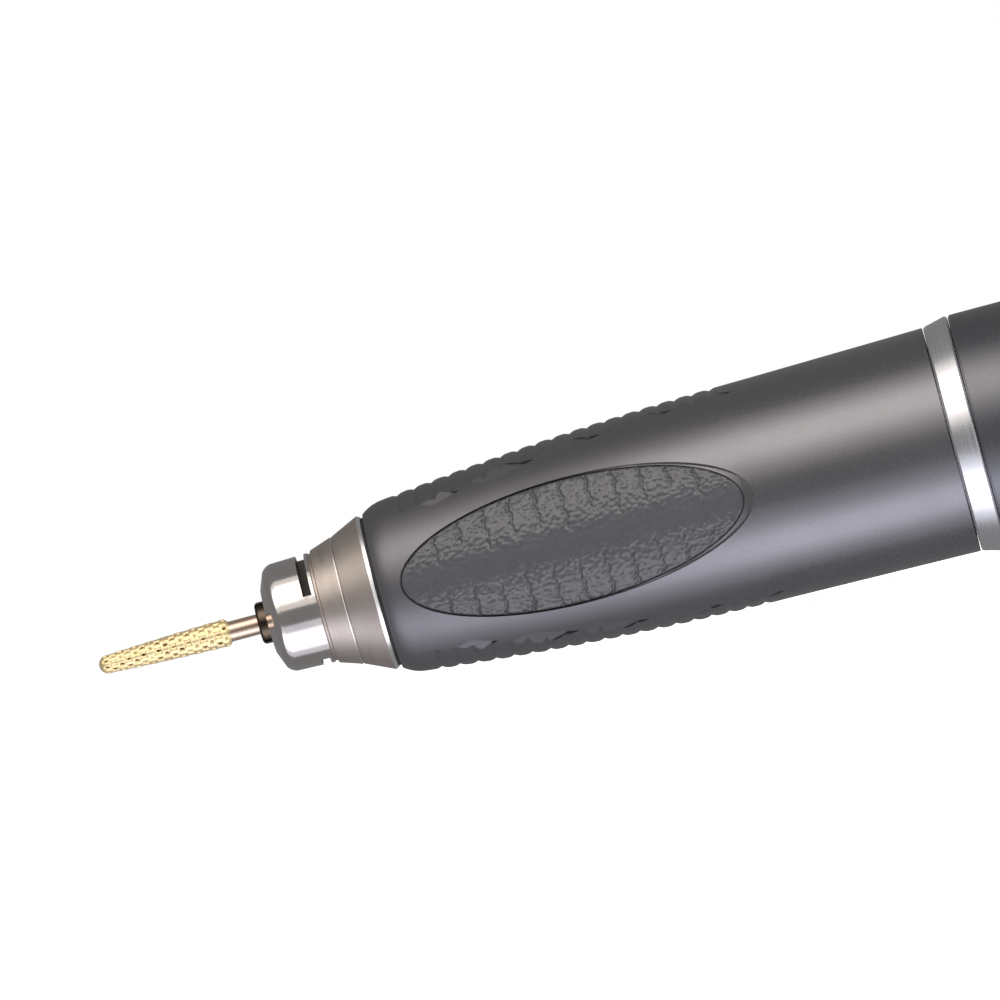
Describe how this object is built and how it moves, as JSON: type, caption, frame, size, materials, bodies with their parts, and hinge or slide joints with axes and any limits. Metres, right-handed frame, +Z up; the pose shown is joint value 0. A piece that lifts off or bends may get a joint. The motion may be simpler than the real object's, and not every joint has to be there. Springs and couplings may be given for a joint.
{
  "type": "dental micromotor handpiece",
  "caption": "Laboratory micromotor handpiece with steel nose, ribbed grey grip with oval pads, twist ring that opens the collet, motor barrel, and a coated bur.",
  "frame": {"origin": "on the spindle axis, at the middle of the plain barrel of the motor housing", "axes": "+X along the spindle axis towards the cord end, nose towards -X; +Z up through the upper ribbed field; the near oval pad faces -Y"},
  "size_m": [0.1767, 0.0278, 0.0278],
  "materials": {
    "coated_carbide": "tungsten carbide with a gold-coloured nitride coat",
    "black_steel": "blackened hardened steel",
    "tool_steel": "ground",
    "spring_steel": "blued spring steel",
    "bearing_steel": "polished bearing steel",
    "cage_resin": "brown phenolic",
    "coupling_plastic": "natural acetal",
    "stainless_steel": "fine-turned stainless steel",
    "seal_rubber": "black rubber",
    "grey_housing": "grey satin hard-anodised",
    "pad_rubber": "grained grey rubber",
    "bright_chrome": "polished and fine-turned",
    "dark_housing": "dark grey satin hard-anodised",
    "plain_aluminium": "turned",
    "magnet_nickel": "nickel-plated magnet",
    "yellow_brass": "turned brass",
    "lamination_steel": "varnished laminations",
    "coil_copper": "enamelled copper wire",
    "board_laminate": "green circuit board",
    "black_plastic": "moulded",
    "gold_contact": "gold-plated contact"
  },
  "bodies": {
    "handpiece": {"nose_cap": "stainless_steel", "dust_seal": "seal_rubber", "bearing_sleeve": "stainless_steel", "front_bearing_outer_rings": "bearing_steel", "outer_spacer": "tool_steel", "preload_washer": "spring_steel", "rear_bearing_outer_ring": "bearing_steel", "bearing_clip": "spring_steel", "grip_housing": "grey_housing", "grip_pad_left": "pad_rubber", "grip_pad_right": "pad_rubber", "case_seals": "seal_rubber", "trim_ring": "bright_chrome", "guide_tube": "tool_steel", "motor_housing": "dark_housing", "front_end_bell": "plain_aluminium", "motor_bearing_outer_rings": "bearing_steel", "stator_core": "lamination_steel", "stator_coils": "coil_copper", "rear_end_bell": "plain_aluminium", "sensor_board": "board_laminate", "hall_sensors": "black_plastic", "rear_cap": "dark_housing", "socket_shell": "stainless_steel", "socket_insulator": "black_plastic", "contact_sleeves": "gold_contact"},
    "rotor": {"rotor_shaft": "tool_steel", "rotor_magnet": "magnet_nickel", "magnet_sleeve": "stainless_steel", "balance_rings": "yellow_brass", "motor_bearing_inner_rings": "bearing_steel", "drive_claw": "coupling_plastic"},
    "motor_ball_sets": {"motor_bearing_balls": "bearing_steel", "motor_bearing_cages": "cage_resin"},
    "spindle": {"spindle": "tool_steel", "spindle_nut": "tool_steel", "front_bearing_inner_rings": "bearing_steel", "inner_spacer": "tool_steel", "rear_bearing_inner_ring": "bearing_steel", "spring_seat": "tool_steel", "collet_spring": "spring_steel", "spindle_fork": "tool_steel"},
    "spindle_ball_sets": {"front_bearing_balls": "bearing_steel", "front_bearing_cages": "cage_resin", "rear_bearing_balls": "bearing_steel", "rear_bearing_cage": "cage_resin"},
    "chuck": {"collet": "black_steel", "drawbar": "tool_steel", "draw_pin": "tool_steel", "spring_collar": "tool_steel"},
    "bur": {"bur": "coated_carbide"},
    "lock_ring": {"lock_ring": "dark_housing", "cam_ring": "tool_steel"},
    "push_sleeve": {"push_sleeve": "tool_steel", "cam_pins": "bearing_steel"}
  },
  "joints": [
    {"name": "rotor_spin", "type": "hinge", "parent": "handpiece", "child": "rotor", "pos_m": [0, 0, 0], "axis": [1, 0, 0], "continuous": true},
    {"name": "motor_balls_orbit", "type": "hinge", "parent": "handpiece", "child": "motor_ball_sets", "pos_m": [0, 0, 0], "axis": [1, 0, 0], "continuous": true},
    {"name": "spindle_spin", "type": "hinge", "parent": "handpiece", "child": "spindle", "pos_m": [0, 0, 0], "axis": [1, 0, 0], "continuous": true},
    {"name": "spindle_balls_orbit", "type": "hinge", "parent": "handpiece", "child": "spindle_ball_sets", "pos_m": [0, 0, 0], "axis": [1, 0, 0], "continuous": true},
    {"name": "lock_ring_twist", "type": "hinge", "parent": "handpiece", "child": "lock_ring", "pos_m": [0, 0, 0], "axis": [1, 0, 0], "range_deg": [0, 60]},
    {"name": "push_sleeve_slide", "type": "slide", "parent": "handpiece", "child": "push_sleeve", "axis": [-1, 0, 0], "range_m": [0, 0.00128]},
    {"name": "collet_slide", "type": "slide", "parent": "spindle", "child": "chuck", "axis": [-1, 0, 0], "range_m": [0, 0.001], "deforming": ["collet_spring"]},
    {"name": "bur_release", "type": "slide", "parent": "chuck", "child": "bur", "axis": [-1, 0, 0], "range_m": [0, 0.03]}
  ],
  "couplings": [
    {"joint": "spindle_spin", "follows": "rotor_spin", "ratio": 1},
    {"joint": "spindle_balls_orbit", "follows": "rotor_spin", "ratio": 0.41111},
    {"joint": "motor_balls_orbit", "follows": "rotor_spin", "ratio": 0.38571},
    {"joint": "push_sleeve_slide", "follows": "lock_ring_twist", "m_per_rad": 0.001222},
    {"joint": "collet_slide", "follows": "lock_ring_twist", "m_per_rad": 0.0009545}
  ]
}
